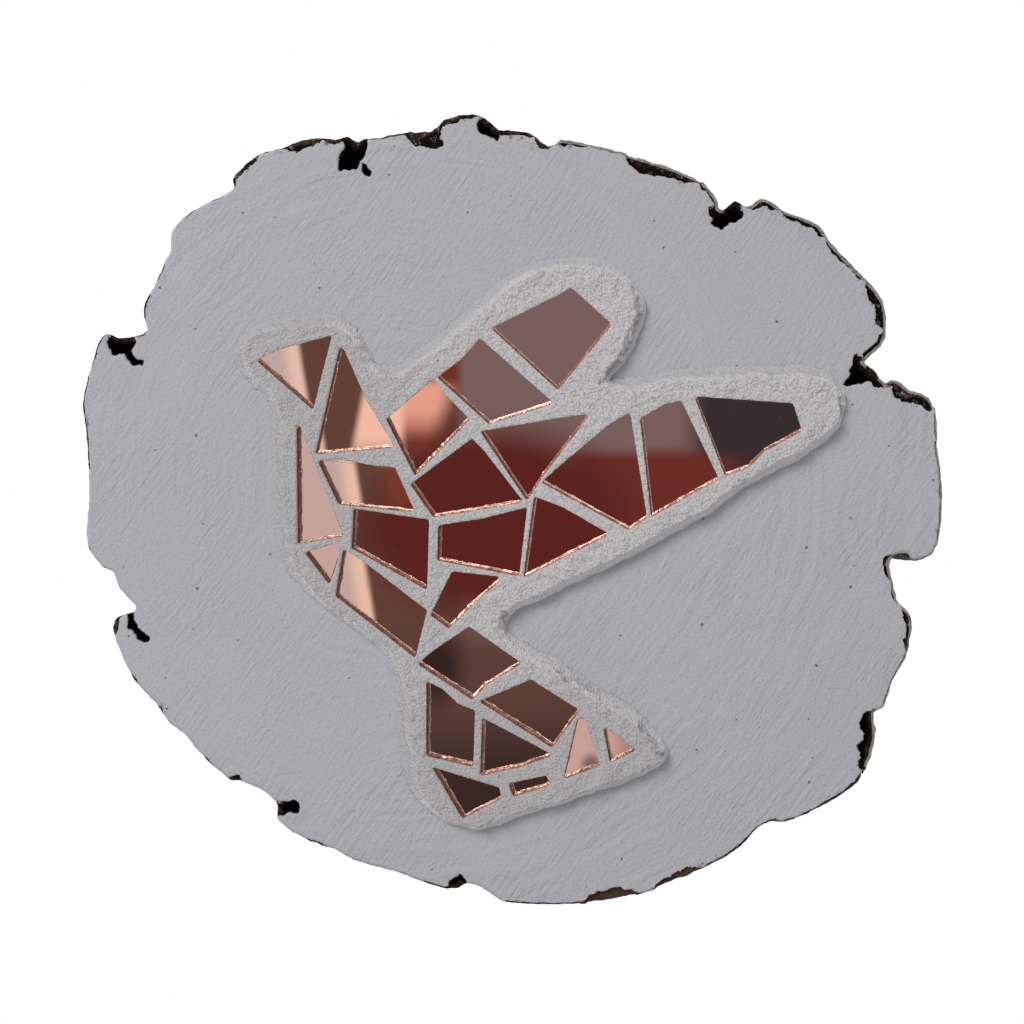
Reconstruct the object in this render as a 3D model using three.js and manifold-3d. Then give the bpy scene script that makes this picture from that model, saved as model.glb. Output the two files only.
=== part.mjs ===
// Wall panel: a slice cut across a tree trunk, painted on its face, with a flying bird set into it
// as a mosaic of copper-coloured mirror shards in a raised bed of grout.
//
// Millimetres. +X is to the right and +Z is up as the panel hangs. The face looks towards -Y, and
// the sawn back lies in the plane y = 0, with the origin at its middle.

import * as THREE from "three";
import { mergeVertices } from "three/addons/utils/BufferGeometryUtils.js";
import Module from "manifold-3d";

const wasm = await Module();
wasm.setup();

// Sizes

const sliceWidth = 157.4;
const sliceThickness = 14;
const frontEdgeBreak = 0.45;
const backEdgeBreak = 0.5;

const barkGapDepth = 5;
const barkLedgeDepth = 1.2;
const barkCutTaper = 0.25;

const birdSpan = 98.3;
const birdCentre = new THREE.Vector2(3, -8);

const glassThickness = 3;
const glassClearance = 0.25;
const groutLip = 0.2;
const groutShoulderWidth = 1.5;
const groutShoulderDrop = 1.4;
const groutFootSpread = 1.015;

const rimSteps = 2;
const groutSteps = 3;
const cutMargin = 1;

// Sketches, drawn on a grid of 1024 by 1024 with x to the right and y down. Each is scaled to its
// real width above, so the grid sets proportions and no size.

const rimSketch = [
  // left side, up to the shoulder
  [88, 470], [85, 428], [82, 404], [88, 374], [94, 356], [98, 342], [106, 333], [115, 337],
  [134, 336], [147, 330], [143, 316], [144, 302], [154, 285], [164, 262], [170, 250], [170, 238],
  // upper left, up to the deep gap
  [174, 227], [191, 211], [212, 200], [234, 187], [232, 179], [238, 171], [256, 154], [276, 149],
  [300, 140], [323, 137], [335, 139], [348, 135], [356, 141], [365, 138],
  // crown
  [381, 137], [412, 130], [430, 129], [445, 119], [473, 113], [487, 118], [499, 129], [520, 130],
  [535, 135], [548, 146], [556, 143], [561, 139],
  // upper right
  [600, 146], [640, 156], [680, 169], [703, 181], [718, 200], [719, 208], [725, 208], [735, 200],
  [745, 206], [752, 205], [761, 198], [772, 201], [784, 210], [819, 224], [831, 242], [866, 278],
  [884, 301], [887, 331], [882, 346], [864, 362],
  // right side
  [873, 368], [888, 384], [893, 379], [903, 382], [912, 390], [926, 393], [936, 405], [938, 445],
  [943, 485], [941, 533], [933, 554], [914, 561], [908, 554], [897, 554], [890, 562], [892, 575],
  [899, 602], [910, 613], [913, 630], [905, 660], [892, 684], [885, 707], [875, 713], [877, 730],
  // lower right and bottom
  [872, 757], [857, 784], [820, 808], [784, 823], [771, 822], [757, 830], [740, 848], [700, 871],
  [650, 892], [605, 903], [545, 905], [503, 902], [482, 888], [466, 884], [459, 888], [443, 889],
  // lower left
  [398, 873], [352, 860], [335, 850], [310, 842], [277, 820], [277, 803], [240, 781], [230, 781],
  [193, 746], [183, 733], [169, 724], [155, 703], [134, 681], [121, 654], [112, 627], [117, 617],
  [128, 614], [134, 609], [130, 600], [118, 588], [113, 572], [102, 567], [88, 549], [86, 533],
  [88, 505],
];

// Where bark is missing or stands back from the face. A gap is deep, a ledge is shallow.
const barkGapSketches = [
  // left shoulder, and the split that runs in from it
  [[110, 325], [136, 325], [135, 344], [131, 351], [137, 361], [144, 361], [143, 367], [133, 366],
    [125, 354], [112, 357], [107, 347]],
  // the deep gap left of the crown, and the slot beside it
  [[338, 172], [337, 162], [344, 148], [343, 125], [371, 125], [366, 150], [362, 160], [353, 170]],
  [[361, 164], [366, 163], [371, 174], [368, 178], [363, 172]],
  // crown
  [[477, 131], [480, 118], [484, 105], [510, 122], [497, 136], [480, 134]],
  // between the two upper right lobes
  [[709, 223], [715, 214], [713, 207], [722, 195], [745, 195], [743, 218], [730, 224], [723, 230]],
  // under the right shoulder
  [[843, 383], [850, 374], [850, 364], [862, 358], [890, 366], [893, 385], [880, 385], [866, 382],
    [855, 385], [847, 388]],
  // lower right
  [[858, 727], [867, 711], [889, 711], [889, 760], [860, 784], [864, 757], [856, 748], [867, 736]],
  // bottom
  [[446, 896], [448, 880], [456, 879], [460, 873], [466, 880], [463, 896]],
  [[266, 801], [288, 801], [292, 799], [300, 806], [299, 815], [290, 813], [281, 817], [266, 818]],
  // the split at the left
  [[126, 600], [137, 604], [132, 619], [141, 631], [153, 641], [146, 643], [134, 635], [127, 626]],
];

const barkLedgeSketches = [
  // crown
  [[411, 146], [412, 120], [441, 112], [441, 138], [448, 144], [436, 150], [420, 147]],
  // upper right strip
  [[625, 162], [628, 140], [712, 170], [702, 184], [681, 181], [655, 176], [640, 172]],
  // right shoulder lumps
  [[894, 400], [891, 384], [892, 370], [950, 390], [933, 412], [926, 411], [920, 399], [906, 397]],
  // bottom strips
  [[586, 899], [605, 890], [618, 887], [637, 894], [636, 915], [586, 915]],
  [[655, 888], [668, 877], [686, 876], [702, 868], [708, 885], [655, 905]],
];

const groutSketch = [
  // over the head and neck
  [240, 353], [249, 336], [285, 324], [322, 319], [350, 328], [366, 346], [382, 369], [398, 371],
  // the raised wing
  [418, 356], [440, 341], [468, 318], [500, 289], [530, 271], [565, 264], [600, 265], [632, 284],
  [645, 304], [640, 335], [624, 364], [611, 382],
  // the far wing
  [636, 382], [690, 373], [780, 371], [822, 374], [842, 387], [845, 408], [830, 437], [790, 464],
  [740, 493], [680, 531], [600, 573], [545, 599], [514, 612],
  // the tail
  [506, 628], [520, 644], [560, 667], [605, 697], [648, 723], [667, 752], [658, 768], [600, 791],
  [530, 813], [480, 829], [455, 826], [428, 808], [412, 780], [405, 740], [401, 695], [391, 660],
  // belly and throat
  [340, 620], [298, 580], [283, 545], [278, 500], [277, 440], [272, 405], [250, 378],
];

const shardSketches = {
  head: [[256, 361], [279, 350], [332, 336], [313, 411]],
  neck: [[339, 348], [344, 350], [367, 402], [395, 448], [315, 455]],
  throat: [[296, 424], [300, 427], [344, 537], [297, 545]],
  upper_breast: [[317, 461], [340, 460], [372, 466], [395, 468], [415, 513], [338, 505]],
  middle_breast: [[353, 509], [400, 516], [429, 520], [427, 591], [351, 549]],
  small_belly: [[304, 553], [341, 542], [338, 560], [329, 586]],
  belly: [[343, 549], [366, 564], [427, 611], [415, 659], [335, 597]],
  shoulder: [[386, 420], [434, 379], [446, 396], [470, 420], [415, 477]],
  back: [[438, 526], [483, 519], [527, 508], [519, 577], [437, 561]],
  rump: [[452, 572], [499, 577], [499, 583], [471, 607], [449, 630], [430, 616]],
  raised_wing_inner: [[437, 378], [461, 360], [480, 339], [554, 404], [489, 425]],
  raised_wing_tip: [[491, 329], [558, 296], [571, 288], [612, 325], [558, 391]],
  wing_root: [[410, 485], [472, 439], [483, 450], [524, 503], [433, 518]],
  wing_root_lower: [[534, 497], [563, 508], [610, 535], [560, 560], [523, 579]],
  wing_inner: [[480, 432], [575, 416], [590, 415], [541, 480], [527, 502]],
  wing_middle: [[541, 483], [560, 466], [609, 425], [630, 413], [647, 519], [629, 531]],
  wing_outer: [[640, 419], [664, 405], [681, 401], [719, 480], [651, 518]],
  wing_tip: [[694, 397], [793, 404], [802, 432], [765, 452], [749, 468], [725, 477]],
  tail_root: [[417, 665], [432, 652], [469, 627], [522, 664], [486, 686], [472, 701]],
  tail_left: [[426, 681], [443, 690], [458, 704], [475, 711], [473, 768], [426, 757]],
  tail_upper: [[478, 702], [531, 680], [580, 711], [552, 749]],
  tail_middle: [[482, 718], [554, 756], [520, 768], [480, 777]],
  tail_lower_left: [[431, 767], [499, 788], [502, 799], [462, 820]],
  tail_lower_small: [[508, 784], [546, 776], [551, 786], [513, 798]],
  tail_right_inner: [[577, 720], [585, 719], [600, 767], [563, 780]],
  tail_right_outer: [[603, 727], [622, 739], [636, 751], [610, 764]],
};

// Outlines, seen from the front, with x to the right and y up

// Gives the function that takes a sketched point to its real place, so that the outline it is made
// for is as wide as asked, with its middle at the centre given.
function placedBy(sketch, width, centre) {
  const points = sketch.map(([x, y]) => new THREE.Vector2(x, y));
  const box = new THREE.Box2().setFromPoints(points);
  const middle = box.getCenter(new THREE.Vector2());
  const scale = width / (box.max.x - box.min.x);
  return ([x, y]) => new THREE.Vector2(
    centre.x + (x - middle.x) * scale,
    centre.y - (y - middle.y) * scale,
  );
}

function anticlockwise(outline) {
  return THREE.ShapeUtils.isClockWise(outline) ? outline.slice().reverse() : outline;
}

function smooth(outline, steps) {
  const points = outline.map((point) => new THREE.Vector3(point.x, point.y, 0));
  const curve = new THREE.CatmullRomCurve3(points, true, "centripetal");
  const samples = curve.getPoints(points.length * steps).slice(0, -1);
  return samples.map((point) => new THREE.Vector2(point.x, point.y));
}

// Moves every side of an anticlockwise outline inwards by the same distance.
function inset(outline, distance) {
  const sharpest = 0.3;
  const inward = outline.map((corner, index) => {
    const next = outline[(index + 1) % outline.length];
    const along = next.clone().sub(corner).normalize();
    return new THREE.Vector2(-along.y, along.x);
  });
  return outline.map((corner, index) => {
    const before = inward[(index + outline.length - 1) % outline.length];
    const after = inward[index];
    const reach = distance / Math.max(1 + before.dot(after), sharpest);
    return corner.clone().addScaledVector(before, reach).addScaledVector(after, reach);
  });
}

// Solids

// Skins a row of outlines with as many points each, from the back one to the front one. Depth is
// measured forwards from the wall.
function loft(sections) {
  const count = sections[0].outline.length;
  const positions = sections.flatMap(({ outline, depth }) =>
    outline.flatMap((point) => [point.x, -depth, point.y]));
  const triangles = [];
  for (let section = 0; section + 1 < sections.length; section += 1) {
    const back = section * count;
    const front = back + count;
    for (let index = 0; index < count; index += 1) {
      const next = (index + 1) % count;
      triangles.push(back + index, back + next, front + next);
      triangles.push(back + index, front + next, front + index);
    }
  }
  const last = (sections.length - 1) * count;
  for (const [a, b, c] of THREE.ShapeUtils.triangulateShape(sections[0].outline, [])) {
    triangles.push(c, b, a);
  }
  for (const [a, b, c] of THREE.ShapeUtils.triangulateShape(sections.at(-1).outline, [])) {
    triangles.push(last + a, last + b, last + c);
  }
  const geometry = new THREE.BufferGeometry();
  geometry.setAttribute("position", new THREE.Float32BufferAttribute(positions, 3));
  geometry.setIndex(triangles);
  return geometry;
}

// A straight-sided plate extruded from one depth to another.
function plate(outline, fromDepth, toDepth) {
  const geometry = new THREE.ExtrudeGeometry(new THREE.Shape(outline), {
    depth: toDepth - fromDepth,
    bevelEnabled: false,
  });
  const standing = new THREE.Matrix4().makeBasis(
    new THREE.Vector3(1, 0, 0),
    new THREE.Vector3(0, 0, 1),
    new THREE.Vector3(0, -1, 0),
  );
  standing.setPosition(0, -fromDepth, 0);
  return geometry.applyMatrix4(standing);
}

function solidOf(geometry) {
  const bare = geometry.clone();
  bare.deleteAttribute("normal");
  bare.deleteAttribute("uv");
  const merged = mergeVertices(bare);
  return new wasm.Manifold(new wasm.Mesh({
    numProp: 3,
    vertProperties: new Float32Array(merged.attributes.position.array),
    triVerts: new Uint32Array(merged.index.array),
  }));
}

function geometryOf(solid) {
  const mesh = solid.getMesh();
  const geometry = new THREE.BufferGeometry();
  geometry.setAttribute("position", new THREE.BufferAttribute(mesh.vertProperties, 3));
  geometry.setIndex(new THREE.BufferAttribute(mesh.triVerts, 1));
  geometry.computeVertexNormals();
  return geometry;
}

function cut(body, tools) {
  const solid = tools.reduce((rest, tool) => rest.subtract(solidOf(tool)), solidOf(body));
  return geometryOf(solid);
}

// The tree slice

function woodSliceGeometry() {
  const onSlice = placedBy(rimSketch, sliceWidth, new THREE.Vector2(0, 0));
  const rim = smooth(anticlockwise(rimSketch.map(onSlice)), rimSteps);
  const slice = loft([
    { outline: inset(rim, backEdgeBreak), depth: 0 },
    { outline: rim, depth: backEdgeBreak },
    { outline: rim, depth: sliceThickness - frontEdgeBreak },
    { outline: inset(rim, frontEdgeBreak), depth: sliceThickness },
  ]);
  const barkCut = (depth) => (sketch) => {
    const mouth = anticlockwise(sketch.map(onSlice));
    return loft([
      { outline: inset(mouth, barkCutTaper), depth: sliceThickness - depth },
      { outline: mouth, depth: sliceThickness + cutMargin },
    ]);
  };
  const gaps = barkGapSketches.map(barkCut(barkGapDepth));
  const ledges = barkLedgeSketches.map(barkCut(barkLedgeDepth));
  return cut(slice, [...gaps, ...ledges]);
}

// The mosaic

const onBird = placedBy(Object.values(shardSketches).flat(), birdSpan, birdCentre);
const pocketOutlines = Object.entries(shardSketches).map(
  ([name, sketch]) => [name, anticlockwise(sketch.map(onBird))],
);

// The foot of the mound lies deeper than the glass, and spreads a little about the panel's middle.
function groutBedGeometry() {
  const spread = groutSketch.map((point) => onBird(point).multiplyScalar(groutFootSpread));
  const foot = smooth(anticlockwise(spread), groutSteps);
  const groutTop = sliceThickness + glassThickness + groutLip;
  const mound = loft([
    { outline: foot, depth: sliceThickness },
    { outline: inset(foot, groutShoulderWidth * 0.35), depth: groutTop - groutShoulderDrop },
    { outline: inset(foot, groutShoulderWidth), depth: groutTop },
  ]);
  const pockets = pocketOutlines.map(([, outline]) =>
    plate(outline, sliceThickness - cutMargin, groutTop + cutMargin));
  return cut(mound, pockets);
}

function shardGeometry(outline) {
  return plate(inset(outline, glassClearance), sliceThickness, sliceThickness + glassThickness);
}

// Materials

const paintedWood = new THREE.MeshStandardMaterial({ color: 0xa9abb0, roughness: 0.75, metalness: 0 });
const grout = new THREE.MeshStandardMaterial({ color: 0xbfbdb9, roughness: 0.95, metalness: 0 });
const copperMirror = new THREE.MeshStandardMaterial({ color: 0xb06a55, roughness: 0.05, metalness: 1 });

// The panel

function piece(name, geometry, material) {
  const mesh = new THREE.Mesh(geometry, material);
  mesh.name = name;
  return mesh;
}

const panel = new THREE.Group();
panel.name = "mosaic_panel";
panel.add(piece("wood_slice", woodSliceGeometry(), paintedWood));
panel.add(piece("grout_bed", groutBedGeometry(), grout));
for (const [name, outline] of pocketOutlines) {
  panel.add(piece(`shard_${name}`, shardGeometry(outline), copperMirror));
}

export default panel;
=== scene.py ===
"""The looks of a mosaic wall panel: a painted slice of a tree trunk with its bark, a raised bed of
grout in the shape of a flying bird, and 26 shards of copper mirror set in it.

Metres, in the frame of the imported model: +X to the right and +Z up as the panel hangs, the sawn
back in the plane y = 0 and the painted face looking towards -Y. Materials work in millimetres.
"""

import math
from collections import Counter, defaultdict
from itertools import product

import bpy
import numpy as np
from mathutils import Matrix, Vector
from mathutils.kdtree import KDTree


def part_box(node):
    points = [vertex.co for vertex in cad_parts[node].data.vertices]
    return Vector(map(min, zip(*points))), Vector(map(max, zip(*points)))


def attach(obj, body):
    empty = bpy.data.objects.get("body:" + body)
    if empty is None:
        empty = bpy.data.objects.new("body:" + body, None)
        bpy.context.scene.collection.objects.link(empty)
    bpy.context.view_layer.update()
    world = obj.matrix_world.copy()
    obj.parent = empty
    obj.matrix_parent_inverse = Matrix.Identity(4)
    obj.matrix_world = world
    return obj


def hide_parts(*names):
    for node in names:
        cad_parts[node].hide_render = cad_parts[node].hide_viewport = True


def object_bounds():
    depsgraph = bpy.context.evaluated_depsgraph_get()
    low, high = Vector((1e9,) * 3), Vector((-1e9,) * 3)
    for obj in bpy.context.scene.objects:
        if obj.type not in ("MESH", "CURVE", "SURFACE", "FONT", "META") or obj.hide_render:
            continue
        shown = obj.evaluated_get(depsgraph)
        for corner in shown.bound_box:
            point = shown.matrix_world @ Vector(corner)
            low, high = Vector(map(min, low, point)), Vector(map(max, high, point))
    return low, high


bl_info = {
    "name": "Mosaic bird panel",
    "version": (1, 0, 0),
    "blender": (4, 5, 0),
    "location": "3D View > Sidebar > Mosaic",
    "description": "Dresses a painted tree slice with a mosaic bird of copper mirror shards",
    "category": "Object",
}

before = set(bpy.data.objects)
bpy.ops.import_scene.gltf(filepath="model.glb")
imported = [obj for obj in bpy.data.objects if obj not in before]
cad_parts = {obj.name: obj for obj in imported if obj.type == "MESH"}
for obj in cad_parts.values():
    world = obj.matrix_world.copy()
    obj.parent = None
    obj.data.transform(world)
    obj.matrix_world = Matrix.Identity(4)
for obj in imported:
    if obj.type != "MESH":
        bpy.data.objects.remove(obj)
CAD_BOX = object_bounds()

MM = 0.001
MERGE_DISTANCE = 1e-6
LEVEL_TOLERANCE = 2e-5

SLICE_LOW, SLICE_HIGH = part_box("wood_slice")
SHARD_LOW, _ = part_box("shard_head")
FACE_Y = SLICE_LOW.y
GLASS_Y = SHARD_LOW.y
BACK_EDGE_BREAK = 0.5 * MM
GLASS_CLEARANCE = 0.25 * MM
MOST_TRIANGLES = 190_000

# Places are noted on a drawing grid of 1024 by 1024, x to the right and y down, on which the slice
# is 861 wide and its middle lies at (512.5, 509). One step of it is less at the glass, which is
# nearer to the eye, than at the painted face.
SLICE_ON_GRID = 861
GRID_MIDDLE = np.array([512.5, 509.0])
FACE_STEP = (SLICE_HIGH.x - SLICE_LOW.x) / SLICE_ON_GRID
GLASS_STEP = 0.18 * MM

# Stretches of the rim where bark shows past the paint: from, to, width in millimetres, and how
# much of it is weathered to pale taupe, or less than nothing where it is freshly chipped and plain
# brown. The rest of the rim is painted up to its edge.
BARK_STRETCHES = (
    ((233, 186), (258, 153), 0.85, 0.0),
    ((262, 152), (284, 147), 0.3, 0.2),
    ((284, 146), (322, 138), 1.7, 0.2),
    ((324, 137), (346, 136), 0.95, 0.2),
    ((368, 138), (410, 131), 0.4, 0.2),
    ((411, 131), (436, 128), 2.6, 0.2),
    ((437, 125), (478, 114), 1.0, 0.2),
    ((496, 129), (534, 135), 0.95, 0.2),
    ((538, 139), (546, 146), 1.2, 0.0),
    ((556, 142), (588, 145), 1.0, 0.7),
    ((590, 145), (628, 153), 0.55, 0.9),
    ((628, 154), (700, 179), 1.9, 0.8),
    ((701, 180), (720, 204), 1.1, 1.0),
    ((750, 205), (780, 208), 1.45, 0.6),
    ((782, 210), (826, 236), 1.3, 0.9),
    ((828, 240), (866, 278), 1.1, 0.95),
    ((868, 281), (886, 330), 1.9, 0.9),
    ((888, 332), (866, 361), 1.1, 0.7),
    ((890, 384), (935, 404), 2.3, 0.5),
    ((937, 412), (942, 540), 0.6, 0.6),
    ((940, 542), (912, 560), 0.3, 0.5),
    ((893, 557), (892, 578), 1.25, 0.5),
    ((893, 582), (900, 603), 0.7, 0.5),
    ((904, 608), (911, 650), 1.4, 0.4),
    ((908, 655), (886, 706), 0.5, 0.6),
    ((877, 714), (872, 762), 1.1, 0.7),
    ((866, 775), (800, 816), 0.6, 0.3),
    ((796, 818), (706, 868), 0.5, 0.3),
    ((702, 870), (655, 890), 1.4, -0.7),
    ((638, 897), (586, 904), 1.8, -0.7),
    ((584, 904), (505, 902), 0.45, 0.3),
    ((466, 885), (424, 882), 0.5, 0.2),
    ((324, 847), (308, 841), 0.55, 0.2),
    ((240, 782), (229, 779), 0.9, 0.0),
    ((212, 764), (202, 755), 0.35, 0.2),
    ((162, 714), (158, 706), 0.6, 0.2),
    ((137, 684), (131, 675), 0.6, 0.2),
    ((112, 632), (116, 616), 1.2, 0.0),
    ((86, 470), (83, 374), 0.4, 0.2),
    ((93, 370), (106, 336), 0.35, 0.2),
    ((136, 334), (146, 330), 0.4, 0.2),
    ((144, 318), (144, 290), 0.55, 0.2),
    ((158, 282), (162, 262), 0.4, 0.2),
    ((176, 226), (196, 208), 0.3, 0.2),
    ((214, 200), (226, 192), 0.3, 0.2),
)

# The heart of the tree on the grid, and the angle at which the brush strokes climb to the right.
HEART = (410, 480)
STROKE_ANGLE = math.radians(54)

# Distance between the cells of which some hold a dark speck, in millimetres.
SPECK_SPACING = 7.0

# Lines along which the edge of the grout has crumbled: from, to, and width in millimetres. The
# dents there are also painted darker, as shade.
CRUMBLED = (
    ((505, 612), (510, 630), 0.8),
    ((553, 662), (568, 678), 0.8),
    ((568, 674), (600, 692), 0.7),
    ((642, 722), (660, 752), 0.9),
    ((836, 378), (839, 425), 0.7),
    ((633, 290), (639, 318), 0.9),
    ((639, 318), (620, 362), 1.0),
    ((620, 362), (600, 386), 0.8),
)

# Small differences in how the shards lie in the grout, as rise for each unit to the right and
# upwards. They shift what each one mirrors.
SHARD_TILTS = {
    "head": (0.0053, 0.0),
    "neck": (0.0014, 0.0),
    "throat": (-0.0075, 0.0),
    "upper_breast": (-0.0108, 0.0),
    "small_belly": (-0.0075, 0.0),
    "belly": (-0.0077, 0.0),
    "tail_upper": (-0.002, 0.0),
    "tail_right_inner": (0.02, 0.0),
    "tail_right_outer": (0.012, 0.0),
}

# The cut edges of the glass lean outwards more the further a side lies from here.
CUTS_LEAN_FROM = (850, 300)
CUT_LEAN = 0.0082

# The way that the sides whose cut edges get a painted glint face, to the right and upwards; the
# sides that face away get painted shade.
GLINT_SIDE = (0.35, -0.94)

# The camera stands straight in front of the middle of the panel. A flat mirror at (x, y) on the
# grid shows it the room in the direction that the same (x, y) names here.
MIRROR_REACH = 1097.8

# The soft light at the upper left, which faces the panel, and the floor.
KEY_PLACE = Vector((-0.66, -1.1, 0.77))
KEY_SIZE = 0.6
FLOOR_SIZE = 0.7


def linear(red, green, blue):
    """A screen colour of 0 to 255 as the linear colour that shaders use."""
    def channel(value):
        share = value / 255
        return share / 12.92 if share <= 0.04045 else ((share + 0.055) / 1.055) ** 2.4
    return (channel(red), channel(green), channel(blue))


def on_panel(x, y, step=FACE_STEP):
    """A point of the drawing grid as metres to the right and up on the panel."""
    return np.array([x - GRID_MIDDLE[0], GRID_MIDDLE[1] - y]) * step


# Sizes and colours that a user would change

def length(name, description, default, top=0.1):
    return bpy.props.FloatProperty(
        name=name, description=description, default=default, min=0.0, max=top, precision=5,
        subtype="DISTANCE", unit="LENGTH",
    )


def colour(name, description, default):
    return bpy.props.FloatVectorProperty(
        name=name, description=description, default=default, min=0.0, max=1.0,
        size=3, subtype="COLOR",
    )


class MosaicSliceSettings(bpy.types.PropertyGroup):
    """Sizes and colours of the painted slice."""

    mesh_step: length("Mesh step", "Spacing of the mesh while the bark is shaped", 0.3 * MM)
    bark_drop: length("Bark drop", "How far the bark stands back from the face", 0.7 * MM)
    furrow_depth: length("Furrow depth", "Depth of the furrows down the bark", 0.7 * MM)
    torn_edge: length("Torn edge", "Raggedness of the mouths of the holes", 0.55 * MM)
    ring_spacing: length("Ring spacing", "Distance between growth rings", 1.7 * MM)
    paint: colour("Paint", "Chalk paint on the face", linear(204, 204, 209))
    bark: colour("Bark", "Rough bark", linear(98, 72, 60))
    weathered: colour("Weathered bark", "Pale outer skin of the bark", linear(176, 168, 162))
    wood: colour("Wood", "Bare sawn wood of the back", linear(202, 170, 128))


class MosaicGroutSettings(bpy.types.PropertyGroup):
    """Sizes and colours of the grout."""

    mesh_step: length("Mesh step", "Spacing of the mesh while the mound is shaped", 0.26 * MM)
    lump_height: length("Lump height", "Height of the lumps left by the fingers", 0.4 * MM)
    sand_height: length("Sand height", "Height of the coarse sand", 0.11 * MM)
    feather: length("Feather", "How far the foot is smeared out at the upper left", 1.3 * MM)
    grout: colour("Grout", "Bare cement grout", linear(231, 227, 228))


class MosaicShardSettings(bpy.types.PropertyGroup):
    """Sizes and colours of the mirror shards."""

    seat: length("Seat", "How far a shard reaches into the grout", 0.12 * MM)
    outline_step: length("Outline step", "Spacing of points along a cut edge", 0.22 * MM)
    widest_cut: length("Widest cut", "Widest cut edge seen from the front", 0.85 * MM)
    arris: length("Arris", "Width of the rubbed edge of the face", 0.14 * MM)
    nibble: length("Nibble", "Depth of the small chips along an edge", 0.22 * MM)
    copper: colour("Copper", "Tint of the mirror", linear(247, 204, 186))
    cut_copper: colour("Cut copper", "Tint of the cut edges", linear(248, 192, 168))


class MosaicStageSettings(bpy.types.PropertyGroup):
    """Camera, lights and floor."""

    camera_distance: length("Camera distance", "From the glass to the camera", 0.1976, 2.0)
    camera_angle: bpy.props.FloatProperty(
        name="Camera angle", description="Field of view", default=math.radians(50),
        min=0.1, max=2.0, subtype="ANGLE", unit="ROTATION",
    )
    floor_drop: length("Floor drop", "How far the floor lies below the panel", 0.45, 2.0)
    key_power: bpy.props.FloatProperty(
        name="Key power", description="Power of the soft light at the upper left", default=11.0,
        min=0.0, max=100.0, subtype="POWER", unit="POWER",
    )
    room_light: bpy.props.FloatProperty(
        name="Room light", description="Strength of the even light of the room", default=0.36,
        min=0.0, max=10.0,
    )


# Shaders

class Shade:
    """One output of a shader node, with which sums and products can be written."""

    def __init__(self, nodes, socket):
        self.nodes = nodes
        self.socket = socket

    def worked(self, operation, *values):
        return self.nodes.add("ShaderNodeMath", {"operation": operation}, dict(enumerate(values)))

    def __add__(self, other):
        return self.worked("ADD", self, other)

    def __sub__(self, other):
        return self.worked("SUBTRACT", self, other)

    def __rsub__(self, other):
        return self.worked("SUBTRACT", other, self)

    def __mul__(self, other):
        return self.worked("MULTIPLY", self, other)

    def __truediv__(self, other):
        return self.worked("DIVIDE", self, other)

    __radd__ = __add__
    __rmul__ = __mul__


class Nodes:
    """The node tree of a material or of the world, built from nothing."""

    def __init__(self, owner):
        owner.use_nodes = True
        self.tree = owner.node_tree
        self.tree.nodes.clear()

    def add(self, kind, settings=None, inputs=None, output=0):
        """Adds a node: first its settings, then the values or links of its sockets."""
        node = self.tree.nodes.new(kind)
        for name, value in (settings or {}).items():
            setattr(node, name, value)
        for name, value in (inputs or {}).items():
            if isinstance(value, Shade):
                self.tree.links.new(value.socket, node.inputs[name])
            else:
                node.inputs[name].default_value = value
        return Shade(self, node.outputs[output]) if len(node.outputs) else node

    def place(self):
        """Place on the piece in millimetres, as a vector and as its x, y and z."""
        metres = self.add("ShaderNodeTexCoord", output="Object")
        place = self.add(
            "ShaderNodeVectorMath", {"operation": "SCALE"}, {"Vector": metres, "Scale": 1 / MM})
        return (place, *self.parts(place))

    def parts(self, vector):
        split = self.add("ShaderNodeSeparateXYZ", inputs={"Vector": vector})
        return [Shade(self, socket) for socket in split.socket.node.outputs]

    def vector(self, x, y, z):
        return self.add("ShaderNodeCombineXYZ", inputs={"X": x, "Y": y, "Z": z})

    def attribute(self, name):
        settings = {"attribute_type": "GEOMETRY", "attribute_name": name}
        return self.add("ShaderNodeAttribute", settings, output="Fac")

    def noise(self, place, size, detail=2.0, roughness=0.5):
        """Cloudy values of 0 to 1, with lumps of about the size given, in millimetres."""
        inputs = {"Vector": place, "Scale": 1 / size, "Detail": detail, "Roughness": roughness}
        return self.add("ShaderNodeTexNoise", inputs=inputs)

    def distance(self, right, up):
        squares = right * right + up * up
        return squares.worked("SQRT", squares)

    def step(self, value, low, high):
        """Climbs smoothly from 0 to 1 while the value goes from low to high."""
        inputs = {"Value": value, "From Min": low, "From Max": high}
        return self.add("ShaderNodeMapRange", {"interpolation_type": "SMOOTHSTEP"}, inputs)

    def mixed(self, share, first, second, blend="MIX"):
        """A colour that goes from the first to the second as the share goes from 0 to 1."""
        colours = [c if isinstance(c, Shade) else (*c[:3], 1.0) for c in (first, second)]
        settings = {"data_type": "RGBA", "blend_type": blend}
        return self.add(
            "ShaderNodeMix", settings, {0: share, 6: colours[0], 7: colours[1]}, output=2)

    def bump(self, height, strength=1.0):
        """A normal bent by heights in millimetres."""
        inputs = {"Height": height, "Strength": strength, "Distance": MM}
        return self.add("ShaderNodeBump", inputs=inputs)

    def surface(self, **sockets):
        inputs = {name.replace("_", " ").title().replace("Ior", "IOR"): value
                  for name, value in sockets.items()}
        principled = self.add("ShaderNodeBsdfPrincipled", inputs=inputs)
        self.add("ShaderNodeOutputMaterial", inputs={"Surface": principled})


def new_material(name):
    material = bpy.data.materials.new(name)
    return material, Nodes(material)


def scaled(rgb, factor):
    return tuple(channel * factor for channel in rgb)


# Meshes

def pick(piece):
    """Selects one piece alone."""
    bpy.ops.object.select_all(action="DESELECT")
    piece.select_set(True)
    bpy.context.view_layer.objects.active = piece


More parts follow.
